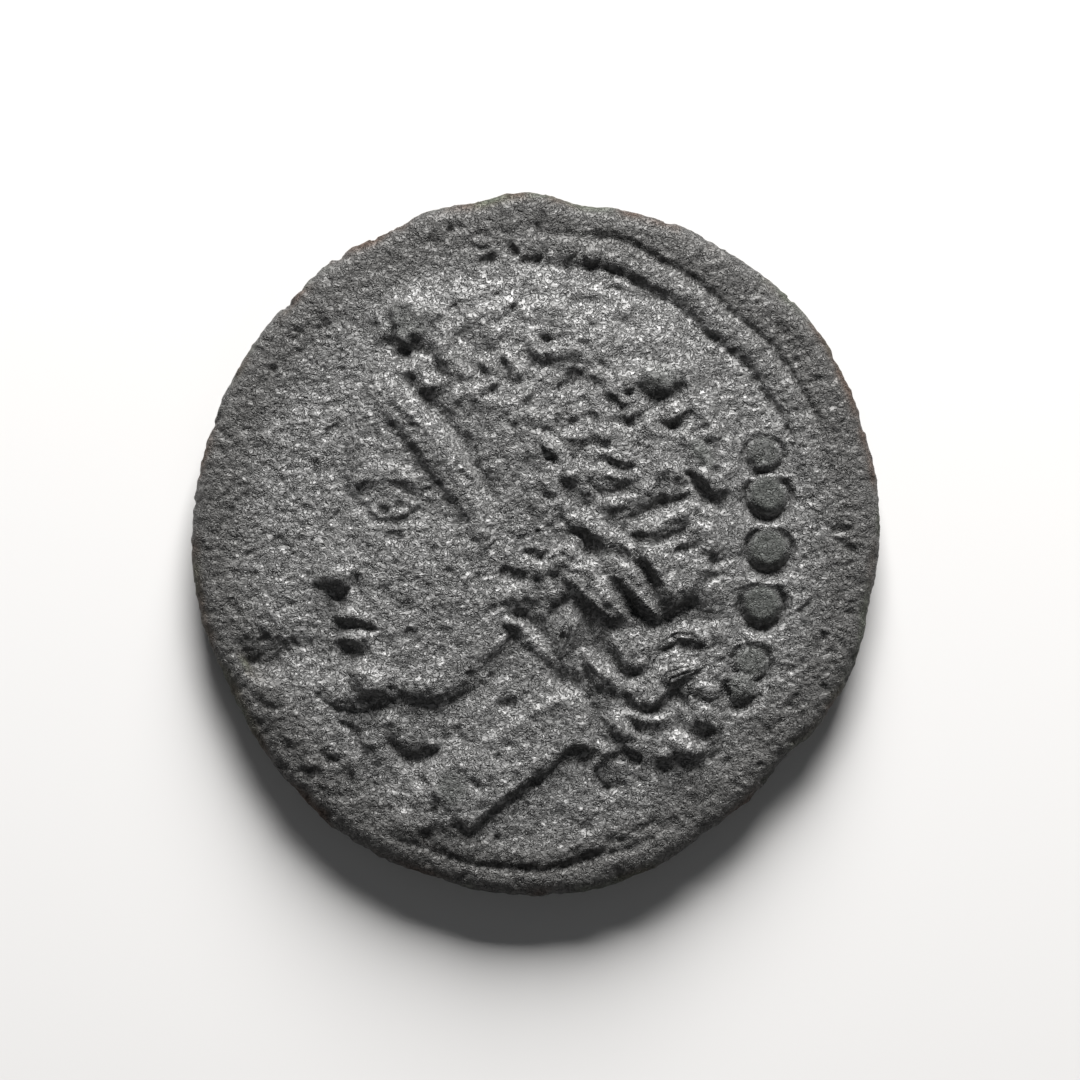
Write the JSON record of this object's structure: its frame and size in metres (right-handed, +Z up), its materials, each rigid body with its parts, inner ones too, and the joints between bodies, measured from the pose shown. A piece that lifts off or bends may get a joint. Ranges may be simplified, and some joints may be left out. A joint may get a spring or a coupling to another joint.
{
  "type": "ancient greek coin",
  "caption": "Worn round bronze coin: a laureate head facing left, a dotted border and a column of pellets in relief, with a worn lyre on the side it lies on.",
  "frame": {"origin": "centre of the coin's box, at the plane that its worn lyre side lies on", "axes": "+Z up out of the head side, +Y towards the top of the head, the head faces -X"},
  "size_m": [0.0274, 0.028, 0.0033],
  "materials": {
    "patinated_bronze": "dark grey patina with a satin metallic sheen, finely pitted, smoother and darker on the worn tops"
  },
  "bodies": {
    "root": {"coin": "patinated_bronze"}
  },
  "joints": []
}
